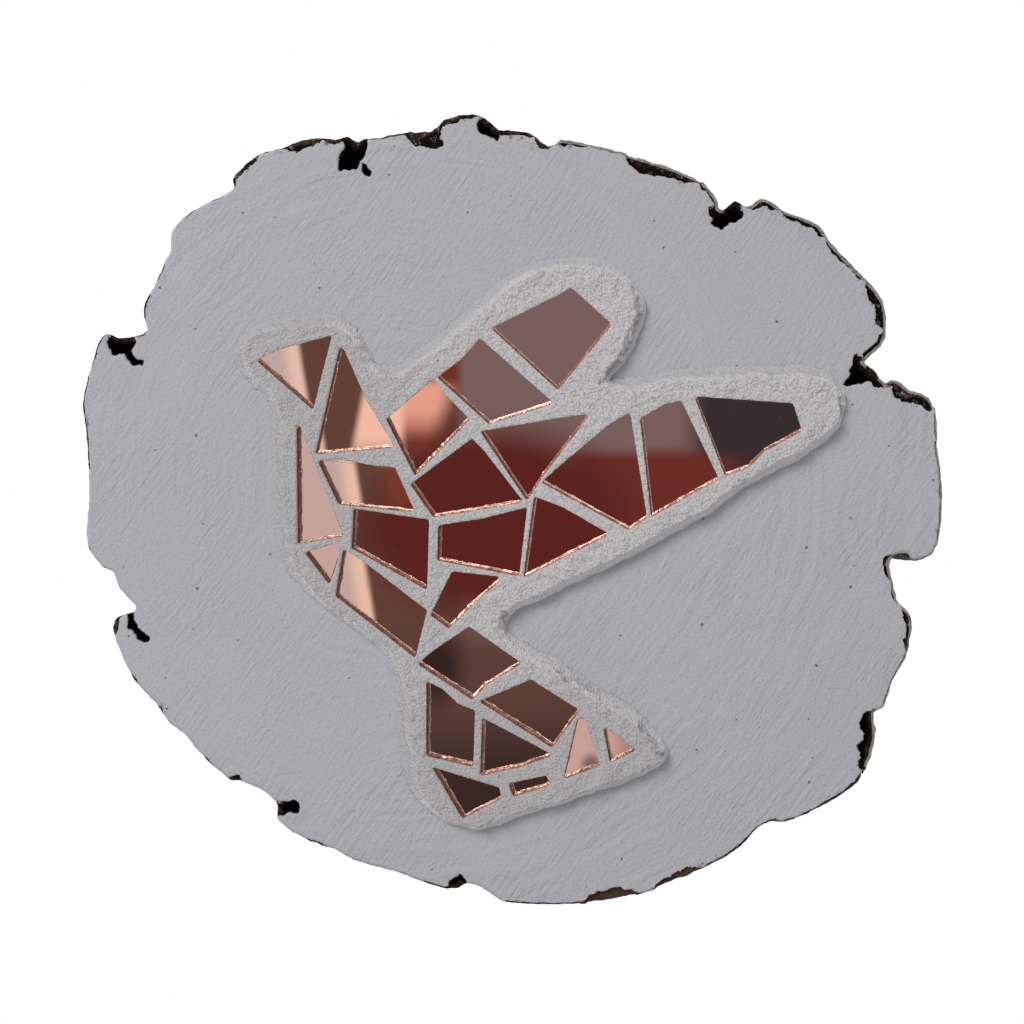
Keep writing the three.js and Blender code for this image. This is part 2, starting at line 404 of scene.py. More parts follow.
def merged_copy(node_name, piece_name):
    """A new piece with the shape of a node, its loose triangles joined up."""
    piece = bpy.data.objects.new(piece_name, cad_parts[node_name].data.copy())
    bpy.context.scene.collection.objects.link(piece)
    piece.data.materials.clear()
    pick(piece)
    bpy.ops.object.mode_set(mode="EDIT")
    bpy.ops.mesh.select_all(action="SELECT")
    bpy.ops.mesh.remove_doubles(threshold=MERGE_DISTANCE)
    bpy.ops.object.mode_set(mode="OBJECT")
    return piece


def apply_modifier(piece, kind, **settings):
    pick(piece)
    modifier = piece.modifiers.new(kind.title(), kind)
    for name, value in settings.items():
        setattr(modifier, name, value)
    bpy.ops.object.modifier_apply(modifier=modifier.name)


def thin_out(piece, triangles):
    """Takes triangles from the flat parts until as many are left as asked."""
    count = sum(len(polygon.vertices) - 2 for polygon in piece.data.polygons)
    if count > triangles:
        apply_modifier(piece, "DECIMATE", ratio=triangles / count)


def smooth_by_angle(piece, degrees):
    pick(piece)
    bpy.ops.object.shade_smooth_by_angle(angle=math.radians(degrees))


def vectors_of(rows, name):
    vectors = np.empty(len(rows) * 3, np.float32)
    rows.foreach_get(name, vectors)
    return vectors.reshape(-1, 3).astype(float)


def points_of(mesh):
    return vectors_of(mesh.vertices, "co")


def normals_of(mesh):
    return vectors_of(mesh.vertex_normals, "vector")


def move_points(mesh, points):
    mesh.vertices.foreach_set("co", points.astype(np.float32).ravel())
    mesh.update()


def store(mesh, name, values):
    attribute = mesh.attributes.new(name, "FLOAT", "POINT")
    attribute.data.foreach_set("value", values.astype(np.float32))


def smoothstep(values, low, high):
    share = np.clip((values - low) / (high - low), 0, 1)
    return share * share * (3 - 2 * share)


def lumps(points, size, seed):
    """Smooth random values of -1 to 1 at points in space, with lumps of the size given."""
    cell = points / np.asarray(size)
    corner = np.floor(cell).astype(np.int64)
    share = cell - corner
    share = share * share * (3 - 2 * share)
    total = np.zeros(len(points))
    for step in product((0, 1), repeat=points.shape[1]):
        at = corner + np.array(step)
        mix = at @ np.array([374761393, 668265263, 1442695041][:at.shape[1]]) + seed * 97531
        mix = (mix ^ (mix >> 13)) * 1274126177 & 0x7FFFFFFF
        mix = (mix ^ (mix >> 11)) * 668265263 & 0x7FFFFFFF
        weight = np.prod(np.where(np.array(step) == 1, share, 1 - share), axis=1)
        total += weight * (mix / 0x3FFFFFFF - 1)
    return total


def rough(points, size, seed, octaves=3):
    """Lumps on lumps, each half the size of those before."""
    sizes = [np.asarray(size) / 2 ** octave for octave in range(octaves)]
    layers = [lumps(points, s, seed + octave) / 2 ** octave for octave, s in enumerate(sizes)]
    return sum(layers) / sum(1 / 2 ** octave for octave in range(octaves))


def finder(flat_points):
    """A tree that finds the nearest of some points, given as x and z."""
    tree = KDTree(len(flat_points))
    for index, (x, z) in enumerate(flat_points):
        tree.insert((x, 0, z), index)
    tree.balance()
    return tree


def outline_at(mesh, depth):
    """The closed outline at one depth, anticlockwise seen from the front, as (x, z) points."""
    level = {v.index for v in mesh.vertices if abs(v.co.y - depth) < LEVEL_TOLERANCE}
    flat = [polygon for polygon in mesh.polygons if level.issuperset(polygon.vertices)]
    inner = Counter(key for polygon in flat for key in polygon.edge_keys)
    beside = defaultdict(list)
    for edge in mesh.edges:
        if level.issuperset(edge.vertices) and inner[edge.key] < 2:
            beside[edge.vertices[0]].append(edge.vertices[1])
            beside[edge.vertices[1]].append(edge.vertices[0])
    walk = [min(beside)]
    while True:
        onward = [v for v in beside[walk[-1]] if v not in walk[-2:]]
        if not onward or onward[0] == walk[0]:
            break
        walk.append(onward[0])
    points = np.array([(mesh.vertices[v].co.x, mesh.vertices[v].co.z) for v in walk])
    after = np.roll(points, -1, axis=0)
    area = np.sum(points[:, 0] * after[:, 1] - after[:, 0] * points[:, 1])
    return points if area > 0 else points[::-1]


def walked(corners, step):
    """Points along a closed outline, about a step apart, with every corner kept, and the number
    of the side that each lies on."""
    after = np.roll(corners, -1, axis=0)
    counts = np.maximum(1, np.round(np.linalg.norm(after - corners, axis=1) / step).astype(int))
    shares = [np.arange(count) / count for count in counts]
    points = [a + share[:, None] * (b - a) for a, b, share in zip(corners, after, shares)]
    return np.concatenate(points), np.repeat(np.arange(len(corners)), counts)


def outward_normals(corners):
    along = np.roll(corners, -1, axis=0) - corners
    along /= np.linalg.norm(along, axis=1)[:, None]
    return np.stack([along[:, 1], -along[:, 0]], axis=1)


def sides_moved_in(corners, distances):
    """The outline whose sides lie inwards of the old ones by a distance each."""
    normals = outward_normals(corners)
    offsets = np.sum(normals * corners, axis=1) - distances
    moved = []
    for index in range(len(corners)):
        pair = [index - 1, index]
        moved.append(np.linalg.solve(normals[pair], offsets[pair]))
    return np.array(moved)


def skin(name, rings, values_round):
    """A closed piece over a row of outlines with as many points each, from the back to the front,
    with named values that change along the outline."""
    count = len(rings[0])
    bpy.ops.object.select_all(action="DESELECT")
    bpy.ops.mesh.primitive_grid_add(x_subdivisions=count, y_subdivisions=len(rings) - 1, size=1)
    piece = bpy.context.object
    piece.name = name
    piece.data.name = name
    closed = [np.vstack([ring, ring[:1]]) for ring in rings]
    move_points(piece.data, np.concatenate(closed))
    for value_name, values in values_round.items():
        store(piece.data, value_name, np.tile(np.append(values, values[0]), len(rings)))
    bpy.ops.object.mode_set(mode="EDIT")
    bpy.ops.mesh.select_all(action="SELECT")
    bpy.ops.mesh.remove_doubles(threshold=MERGE_DISTANCE)
    bpy.ops.mesh.select_all(action="DESELECT")
    bpy.ops.mesh.select_mode(type="EDGE")
    bpy.ops.mesh.select_non_manifold()
    bpy.ops.mesh.fill_holes(sides=0)
    bpy.ops.mesh.select_all(action="SELECT")
    bpy.ops.mesh.normals_make_consistent(inside=False)
    bpy.ops.mesh.select_mode(type="VERT")
    bpy.ops.object.mode_set(mode="OBJECT")
    return piece


def finished(piece, nodes):
    """Fixes a piece to the panel in place of its nodes."""
    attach(piece, "root")
    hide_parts(*nodes)


# The slice

def spread(choose, values, steps):
    """The least or the greatest value within some steps either way round the rim."""
    return choose([np.roll(values, shift) for shift in range(-steps, steps + 1)], axis=0)


class Rim:
    """The outline of the slice in short steps, with the bark that shows at each. Where the rim is
    missing to more than the gap depth, a gap opens, with bare bark beside it."""

    step = 0.25 * MM
    gap_reach = 0.6 * MM
    gap_depth = 3.2 * MM
    gap_bark = 1.9 * MM

    def __init__(self, mesh):
        self.points, _ = walked(outline_at(mesh, -BACK_EDGE_BREAK), self.step)
        self.tree = finder(self.points)
        self.width = np.zeros(len(self.points))
        self.weathered = np.zeros(len(self.points))
        self.gap = np.zeros(len(self.points))
        for start, end, width, weathered in BARK_STRETCHES:
            self.add_stretch(start, end, width * MM, weathered)

    def number_at(self, grid_point):
        x, z = on_panel(*grid_point)
        return self.tree.find((x, 0, z))[1]

    def add_stretch(self, start, end, width, weathered):
        total = len(self.points)
        first, last = self.number_at(start), self.number_at(end)
        if (last - first) % total > total / 2:
            first, last = last, first
        beyond = round(0.8 * width / self.step) + 1
        count = (last - first) % total + 1 + 2 * beyond
        numbers = (first - beyond + np.arange(count)) % total
        from_end = np.minimum(np.arange(count), np.arange(count)[::-1]) * self.step
        fade = smoothstep(from_end, -0.1 * MM, min(2 * width, count * self.step / 3) + 0.3 * MM)
        wider = fade * width > self.width[numbers]
        self.width[numbers] = np.where(wider, fade * width, self.width[numbers])
        self.weathered[numbers] = np.where(wider, weathered, self.weathered[numbers])

    def find_gaps(self, points, distance, number):
        """Notes where the rim is missing at the face, down to a depth."""
        near = distance < self.gap_reach
        front = np.full(len(self.points), np.inf)
        np.minimum.at(front, number[near], points[near, 1] - FACE_Y)
        missing = (spread(np.min, front, 2) > self.gap_depth).astype(float)
        self.gap = spread(np.max, missing, 5)
        self.width = np.maximum(self.width, self.gap_bark * spread(np.max, missing, 2))

    def read(self, points):
        """For each point, the distance to the rim and the number of the nearest step of it."""
        found = [self.tree.find((x, 0, z)) for x, _, z in points]
        return np.array([f[2] for f in found]), np.array([f[1] for f in found])


def bark_edge(points, rim, distance, number):
    """How far inside the bark's ragged edge each point lies."""
    flat = points[:, [0, 2]]
    ragged = 1 + 0.4 * rough(flat, 1.8 * MM, 11) + 0.25 * rough(flat, 0.5 * MM, 12)
    return np.where(rim.width[number] > 0, rim.width[number] * ragged, -0.3 * MM) - distance


def close_gaps(points, rim, distance, number):
    """Lets the bark run on outside a gap, nearly as far forward as the face."""
    behind = points[:, 1] - FACE_Y
    flat = points[:, [0, 2]]
    uneven = 1 + 0.35 * rough(flat, 1.5 * MM, 15)
    outer = 1 - smoothstep(distance, 0.8 * MM * uneven, 1.7 * MM * uneven)
    inner = 1 - smoothstep(behind, 5 * MM, 11 * MM)
    level = 0.7 * MM + 0.6 * MM * rough(flat, 1.1 * MM, 16)
    share = rim.gap[number] * outer * inner * (behind > level)
    points[:, 1] += (level - behind) * share


def shape_bark(piece, rim, look):
    """Drops the bark below the face, and gives it furrows, lumps and a ragged edge."""
    mesh = piece.data
    points = points_of(mesh)
    normals = normals_of(mesh)
    distance, number = rim.read(points)
    rim.find_gaps(points, distance, number)
    close_gaps(points, rim, distance, number)
    behind = points[:, 1] - FACE_Y
    inside = bark_edge(points, rim, distance, number)
    shown = smoothstep(inside, -0.05 * MM, 0.25 * MM)
    face = 1 - smoothstep(behind, 0.1 * MM, 0.7 * MM)
    across = np.clip(inside / np.maximum(rim.width[number], 0.1 * MM), 0, 1)
    uneven = 1.2 - 0.8 * across + 0.5 * rough(points, 1.2 * MM, 21)
    uneven += 0.3 * rough(points, 0.5 * MM, 22)
    along_rim = number * rim.step
    trunk = np.stack([along_rim, points[:, 1]], axis=1)
    furrow = rough(trunk, (2.2 * MM, 9 * MM), 31)
    crack = 1 - np.abs(rough(trunk, (3.5 * MM, 12 * MM), 33))
    flat_back = 1 - smoothstep(-points[:, 1], 0.1 * MM, 0.6 * MM)
    side = (1 - face) * (1 - flat_back)
    deep = smoothstep(behind, 0.8 * MM, 4 * MM)
    depth = look.furrow_depth * deep * (0.4 * furrow + 0.8 * crack ** 6 - 0.1) * side
    depth += 0.14 * MM * rough(points, 0.9 * MM, 35) * side
    drop = look.bark_drop * np.clip(rim.width[number] / (0.9 * MM), 0.25, 1)
    points[:, 1] += drop * shown * face * np.clip(uneven, 0.2, 1.8)
    points -= normals * (depth * (1 - shown * face))[:, None]
    torn = by_holes(points, distance)
    for axis, seed in ((0, 41), (2, 43)):
        points[:, axis] += 0.13 * MM * rough(points[:, [0, 2]], 1.5 * MM, seed)
        points[:, axis] += look.torn_edge * torn * rough(points[:, [0, 2]], 1.1 * MM, seed + 10)
    points[np.abs(points[:, 1] - FACE_Y) < 0.05 * MM, 1] = FACE_Y
    points[np.abs(points[:, 1]) < 0.05 * MM, 1] = 0
    move_points(mesh, points)


def by_holes(points, distance):
    """1 on the walls of the holes and at their mouths, fading out over a millimetre."""
    behind = points[:, 1] - FACE_Y
    walls = points[(behind > 0.4 * MM) & (behind < 4.2 * MM) & (distance > 0.9 * MM)]
    tree = finder(walls[:, [0, 2]])
    near = np.zeros(len(points))
    for index in np.flatnonzero((distance < 13 * MM) & (behind < 6 * MM)):
        x, _, z = points[index]
        near[index] = 1 - tree.find((x, 0, z))[2] / MM
    return np.clip(near, 0, 1)


def dark_specks(nodes, flat, ragged):
    """Specks of 0 to 1 in the paint, each near the middle of a cell that chance has chosen."""
    settings = {"voronoi_dimensions": "2D"}
    inputs = {"Vector": flat, "Scale": 1 / SPECK_SPACING}
    away = nodes.add("ShaderNodeTexVoronoi", settings, inputs)
    chance = nodes.add("ShaderNodeTexVoronoi", settings, inputs, output="Color")
    red, green, _ = nodes.parts(chance)
    size = green * green * 0.03 + 0.012 + ragged * 0.05
    return nodes.step(size - away, -0.006, 0.006) * nodes.step(red, 0.66, 0.68)


def bark_colour(nodes, look, place, behind, ragged, chipped, crust, fine):
    """Dark crusty bark, flecked with paint near the face and pale where it is weathered, with
    painted shade: a near-black line along the paint's edge, darkness across the gaps and
    near-black deep in the holes.
    """
    bark = nodes.mixed(nodes.step(crust, 0.42, 0.58), scaled(look.bark, 0.14), look.bark)
    bark = nodes.mixed(nodes.step(fine, 0.58, 0.72) * 0.5, bark, scaled(look.bark, 1.8))
    front = nodes.step(behind, 3.0, 2.0)
    weathered = nodes.attribute("weathered")
    # A near-black line along the edge of the paint is painted shade, as in a crack between paint
    # and bark.
    crack_shade_reach = weathered * 0.5 + chipped * 1.3 + 0.26
    split = nodes.step(nodes.attribute("across_bark") - crack_shade_reach, 0.08, -0.08) * front
    bark = nodes.mixed(split * 0.95, bark, scaled(look.bark, 0.05))
    fresh = nodes.step(weathered, -0.2, -0.6) * front
    bark = nodes.mixed(fresh * 0.8, bark, look.bark)
    flecks = nodes.step(nodes.noise(place, 0.9, 4.0, 0.7), 0.59, 0.62) * front
    flecks = flecks * (1 - split * 0.7) * (1 - fresh)
    bark = nodes.mixed(flecks * 0.7, bark, look.paint)
    # Much darker across the gaps in the rim: painted shade.
    bark = nodes.mixed(nodes.attribute("painted_gap_shade") * 0.75, bark, scaled(look.bark, 0.08))
    outermost = nodes.step(nodes.attribute("from_rim") + ragged * 0.3, 0.62, 0.48)
    pale = nodes.step(weathered * outermost + chipped * 0.5, 0.3, 0.42)
    bark = nodes.mixed(pale, bark, look.weathered)
    # Near-black deep in the holes, where shade falls: painted shade.
    painted_hole_shade = nodes.step(nodes.attribute("hole_depth_shade") + (crust - 0.5) * 0.9, 0.35, 0.55)
    return nodes.mixed(painted_hole_shade, bark, scaled(look.bark, 0.03))


def sawn_wood_colour(nodes, look, rings, radius, strokes):
    """Bare wood of the back, with growth rings, a darker heart and saw marks."""
    wood = nodes.mixed(nodes.step(rings, 0.35, 0.65), scaled(look.wood, 0.72), look.wood)
    wood = nodes.mixed(nodes.step(radius, 34.0, 12.0) * 0.5, wood, scaled(look.wood, 0.62))
    return nodes.mixed(nodes.step(strokes, 0.4, 0.7) * 0.3, wood, scaled(look.wood, 1.2))


def slice_material(look):
    material, nodes = new_material("painted_tree_slice")
    place, x, y, z = nodes.place()
    flat = nodes.vector(x, z, 0.0)
    heart = on_panel(*HEART) / MM
    radius = nodes.distance(x - heart[0], (z - heart[1]) * 1.05)
    radius = radius + nodes.noise(place, 22.0, 2.0) * 9.0
    ring_number = radius * (MM / look.ring_spacing)
    rings = nodes.noise(nodes.vector(ring_number, x / 60.0, z / 60.0), 1.0, 2.0)
    patchy = nodes.step(nodes.noise(place, 12.0, 2.0), 0.3, 0.7)

    right, up = math.cos(STROKE_ANGLE), math.sin(STROKE_ANGLE)
    along = x * right + z * up
    across = x * up - z * right
    strokes = nodes.noise(nodes.vector(across / 0.7, along / 6.0, 0.0), 1.0, 3.0, 0.58)
    scratch = nodes.noise(nodes.vector(across / 0.32, along / 16.0, 3.0), 1.0, 1.0)
    brushed = nodes.step(nodes.noise(place, 16.0, 1.0), 0.3, 0.7)
    tooth = nodes.noise(place, 0.55, 3.0, 0.6)

    ragged = nodes.noise(place, 0.45, 3.0, 0.65) - 0.5
    chipped = nodes.noise(place, 1.4, 3.0, 0.6) - 0.5
    inside = nodes.attribute("inside") + ragged * 0.45
    behind = y - FACE_Y / MM
    reach = behind + chipped * 1.2 + ragged * 0.5
    painted = nodes.step(inside, 0.02, -0.02) * nodes.step(reach, 0.62, 0.52)
    torn = nodes.step(nodes.attribute("by_hole") + ragged * 1.6, 0.72, 0.86)
    torn = torn * nodes.step(behind, 0.02, 0.3)
    back = nodes.step(y, -0.35, -0.2)

    paint = nodes.mixed(nodes.noise(place, 34.0, 2.0), scaled(look.paint, 0.93), look.paint)
    cool = nodes.mixed(nodes.noise(place, 55.0, 1.0), (1.0, 0.975, 0.985), (0.985, 0.985, 1.0))
    paint = nodes.mixed(1.0, paint, cool, "MULTIPLY")
    thin = nodes.step(rings, 0.6, 0.35) * patchy + nodes.step(strokes, 0.58, 0.36) * brushed
    paint = nodes.mixed(thin * 0.5, paint, scaled(look.paint, 0.9))
    grime = nodes.step(inside, -1.2, 0.0) * nodes.step(chipped, 0.06, 0.2)
    paint = nodes.mixed(grime * 0.7, paint, scaled(look.bark, 0.5))
    speck = dark_specks(nodes, flat, ragged)
    paint = nodes.mixed(speck * 0.75, paint, look.bark)

    crust = nodes.noise(place, 1.3, 4.0, 0.7)
    fine = nodes.noise(place, 0.4, 3.0, 0.7)
    bark = bark_colour(nodes, look, place, behind, ragged, chipped, crust, fine)
    base = nodes.mixed(painted * (1 - torn), bark, paint)
    base = nodes.mixed(back, base, sawn_wood_colour(nodes, look, rings, radius, strokes))

    paint_height = (rings - 0.5) * (patchy * 0.4) + (strokes - 0.5) * (brushed * 0.2 + 0.08)
    paint_height = paint_height + (tooth - 0.5) * 0.22 - speck * 0.05
    paint_height = paint_height + nodes.step(scratch, 0.62, 0.72) * (brushed * 0.05)
    bark_height = (crust - 0.5) * 0.9 + (fine - 0.5) * 0.4
    height = paint_height * painted + bark_height * (1 - painted) * (1 - back)
    height = height + back * ((strokes - 0.5) * 0.05)
    nodes.surface(
        base_color=base,
        roughness=(0.78 - tooth * 0.08) * painted + (0.92 - fine * 0.1) * (1 - painted),
        normal=nodes.bump(height),
        specular_ior_level=0.1,
    )
    return material


class MOSAIC_OT_wood_slice(bpy.types.Operator):
    """Makes the painted slice with its bark, gaps and sawn back."""

    bl_idname = "mosaic.wood_slice"
    bl_label = "Painted wood slice"

    def execute(self, context):
        look = context.scene.mosaic_slice
        piece = merged_copy("wood_slice", "painted_slice")
        rim = Rim(piece.data)
        apply_modifier(piece, "REMESH", mode="VOXEL", voxel_size=look.mesh_step, adaptivity=0.0)
        shape_bark(piece, rim, look)
        thin_out(piece, MOST_TRIANGLES)
        self.mark_finishes(piece.data, rim)
        smooth_by_angle(piece, 42)
        self.flatten_face_shading(piece.data)
        piece.data.materials.append(slice_material(look))
        finished(piece, ["wood_slice"])
        return {"FINISHED"}

    def flatten_face_shading(self, mesh):
        """Keeps the flat face and back free of the shading of their rims."""
        for polygon in mesh.polygons:
            if abs(polygon.normal.y) > 0.9999:
                polygon.use_smooth = False

    def mark_finishes(self, mesh, rim):
        points = points_of(mesh)
        distance, number = rim.read(points)
        behind = points[:, 1] - FACE_Y
        inside = bark_edge(points, rim, distance, number)
        store(mesh, "inside", inside / MM)
        store(mesh, "across_bark", inside / np.maximum(rim.width[number], 0.2 * MM))
        store(mesh, "from_rim", distance / MM)
        weathered = rim.weathered[number]
        side = behind > 2.5 * MM
        store(mesh, "weathered", np.where(side, np.maximum(weathered, 0.35), weathered))
        # How deep in a hole each point lies, which the material paints as shade.
        inner = smoothstep(distance, 0.8 * MM, 1.5 * MM)
        store(mesh, "hole_depth_shade", smoothstep(behind, 1.4 * MM, 3 * MM) * inner)
        store(mesh, "by_hole", by_holes(points, distance))
        # Where the gaps are, for the shade painted across them.
        store(mesh, "painted_gap_shade", rim.gap[number] * (distance < 3 * MM))


# The grout

def grout_material(look, paint_colour):
    material, nodes = new_material("cement_grout")
    place, x, y, z = nodes.place()
    sand = nodes.add("ShaderNodeTexVoronoi", inputs={"Vector": place, "Scale": 1 / 0.45})
    sand = sand + (nodes.noise(place, 0.3, 2.0) - 0.5) * 0.5
    grains = nodes.noise(place, 0.24, 1.0)
    clouds = nodes.noise(place, 5.0, 3.0)
    bare = nodes.mixed(clouds, scaled(look.grout, 0.9), look.grout)
    # Darker between the sand grains, where the relief sinks: partly the grout's own tone, partly
    # painted shade.
    bare = nodes.mixed(nodes.step(sand, 0.42, 0.75) * 0.45, bare, scaled(look.grout, 0.5))
    bare = nodes.mixed(nodes.step(grains, 0.62, 0.74) * 0.4, bare, scaled(look.grout, 0.5))
    normal = nodes.add("ShaderNodeNewGeometry", output="Normal")
    normal_x, normal_y, normal_z = nodes.parts(normal)
    up_left = nodes.step(normal_z - normal_x, 0.1, 0.8)
    # Steep slopes that face away from the light at the upper left are painted lighter: painted
    # light over their shade.
    painted_light_on_shaded_slope = nodes.step(normal_y, -0.9, -0.5) * (1 - up_left)
    # Darker towards the left and towards the bottom of the mound.
    darker_left_and_low = nodes.step(x, 10.0, -42.0)
    darker_left_and_low = darker_left_and_low.worked("MAXIMUM", darker_left_and_low, nodes.step(z, -22.0, -40.0))
    bare = nodes.mixed(darker_left_and_low * 0.55, bare, scaled(look.grout, 0.6))
    bare = nodes.mixed(painted_light_on_shaded_slope * 0.8, bare, scaled(look.grout, 1.22))
    # Darker where the grout is broken out: painted shade in the dents.
    bare = nodes.mixed(nodes.attribute("broken_and_shaded") * 0.35, bare, scaled(look.grout, 0.25))
    foot = FACE_Y / MM
    brushed = nodes.step(y + (clouds - 0.5) * 2.6 - (sand - 0.4) * 2.0, foot - 2.4, foot - 0.5)
    brushed = brushed * (up_left * 0.65 + 0.3)
    base = nodes.mixed(brushed, bare, scaled(paint_colour, 0.84))
    lumpy = nodes.noise(place, 1.5, 2.0)
    height = (sand * -0.16 + (grains - 0.5) * 0.1) * (1.2 - brushed) + (lumpy - 0.5) * 0.35
    nodes.surface(
        base_color=base,
        roughness=0.95 - grains * 0.08,
        normal=nodes.bump(height),
        specular_ior_level=0.25,
    )
    return material


def shard_edges():
    """A finder of the nearest edge of a shard."""
    marks = []
    for name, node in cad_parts.items():
        if name.startswith("shard_"):
            pattern = merged_copy(name, "pattern")
            outline, _ = walked(outline_at(pattern.data, GLASS_Y), 0.3 * MM)
            marks.extend(outline)
            bpy.data.objects.remove(pattern)
    return finder(marks)


class MOSAIC_OT_grout_bed(bpy.types.Operator):
    """Makes the sandy, finger-smoothed mound of grout round the shards."""

    bl_idname = "mosaic.grout_bed"
    bl_label = "Grout bed"

    def execute(self, context):
        look = context.scene.mosaic_grout
        edges = shard_edges()
        piece = merged_copy("grout_bed", "grout_mound")
        apply_modifier(piece, "REMESH", mode="VOXEL", voxel_size=look.mesh_step, adaptivity=0.0)
        self.shape_mound(piece.data, edges, look)
        thin_out(piece, MOST_TRIANGLES)
        smooth_by_angle(piece, 60)
        piece.data.materials.append(grout_material(look, context.scene.mosaic_slice.paint))
        finished(piece, ["grout_bed"])
        return {"FINISHED"}

    def shape_mound(self, mesh, edges, look):
        points = points_of(mesh)
        normals = normals_of(mesh)
        above = FACE_Y - points[:, 1]
        from_glass = np.array([edges.find((x, 0, z))[2] for x, _, z in points])
        free = smoothstep(from_glass, 0.2 * MM, 2.2 * MM)
        raised = smoothstep(above, 0.2 * MM, 1.2 * MM)
        outwards = np.clip(0.3 - normals[:, 1], 0, 1) * raised
        height = look.lump_height * (0.15 + 0.85 * free) * rough(points, 3.2 * MM, 51)
        height += 0.6 * look.lump_height * free * rough(points, 1.2 * MM, 54)
        height += look.sand_height * rough(points, 0.6 * MM, 57)
        crumbs = np.clip(rough(points, 1.6 * MM, 61) - 0.2, 0, 1)
        height -= 1.2 * look.lump_height * crumbs * free
        slope = np.clip(1 - np.abs(normals[:, 1]), 0, 1) * free
        right = smoothstep(normals[:, 0] + 0.4 * normals[:, 2], 0.1, 0.6) * slope
        height -= 1.6 * look.lump_height * right * np.clip(rough(points, 0.9 * MM, 65) + 0.1, 0, 1)
        broken_and_shaded = self.broken_places(points)
        height -= 0.7 * MM * broken_and_shaded
        points += normals * (height * outwards)[:, None]
        up_left = smoothstep(normals[:, 2] - normals[:, 0], -0.3, 0.6)
        feather = look.feather * np.clip(1 - above / (1.4 * MM), 0, 1) ** 2 * up_left * free
        for axis, seed in ((0, 71), (2, 73)):
            points[:, axis] += 0.55 * MM * free * rough(points[:, [0, 2]], 4 * MM, seed)
            points[:, axis] += feather * normals[:, axis]
        move_points(mesh, points)
        # Kept for the material, which paints shade into the dents.
        store(mesh, "broken_and_shaded", broken_and_shaded * raised)

    def broken_places(self, points):
        """How deeply the grout is crumbled out at each point, from 0 to 1."""
        flat = points[:, [0, 2]]
        broken_and_shaded = np.zeros(len(points))
        for start, end, width in CRUMBLED:
            low, high = on_panel(*start), on_panel(*end)
            line = high - low
            along = np.clip((flat - low) @ line / (line @ line), 0, 1)
            away = np.linalg.norm(flat - low - along[:, None] * line, axis=1)
            broken_and_shaded = np.maximum(broken_and_shaded, 1 - smoothstep(away, 0.4 * width * MM, width * MM))
        return broken_and_shaded * np.clip(1.6 * rough(flat, 0.9 * MM, 91) + 0.55, 0, 1)


# The shards

def mirror_material(look):
    material, nodes = new_material("copper_mirror_face")
    place, _, _, _ = nodes.place()
    dust = nodes.step(nodes.noise(place, 0.35, 2.0), 0.74, 0.8)
    haze = nodes.step(nodes.noise(place, 6.0, 3.0), 0.45, 0.8)
    nodes.surface(
        base_color=nodes.mixed(dust * 0.25, look.copper, (0.8, 0.75, 0.7)),
        metallic=1.0,
        roughness=haze * 0.015 + dust * 0.2 + 0.015,
        coat_weight=1.0,
        coat_roughness=0.01,
    )
    return material


def cut_glass_material(look):
    material, nodes = new_material("copper_mirror_cut_edge")
    place, _, y, _ = nodes.place()
    along_edge = nodes.vector(nodes.attribute("along") / 3.0, y / 0.2, 0.0)
    chips = nodes.noise(along_edge, 1.0, 2.0, 0.6) * 0.7 + nodes.noise(place, 0.5, 2.0, 0.6) * 0.3
    streaks = nodes.noise(place, 1.6, 2.0, 0.6)
    # The cut edges' copper is painted light: brighter where a side faces GLINT_SIDE, as a painted
    # glint, and darker where it faces away, as painted shade, broken up by the streaks.
    bright = nodes.attribute("bright") + (streaks - 0.5) * 1.5
    # Lighter and darker patches along the edge, by the chips noise, are painted sparkle.
    chipped = scaled(look.cut_copper, 0.45)
    painted_shaded_cut = scaled(look.cut_copper, 0.52)
    edge_copper = nodes.mixed(nodes.step(chips, 0.35, 0.6), chipped, look.cut_copper)
    edge_copper = nodes.mixed(nodes.step(bright, 0.12, 0.5), painted_shaded_cut, edge_copper)
    nodes.surface(
        base_color=edge_copper,
        metallic=1.0,
        roughness=chips * 0.12 + 0.04,
        normal=nodes.bump((chips - 0.5) * 0.22),
        coat_weight=0.4,
        coat_roughness=0.05,
    )
    return material


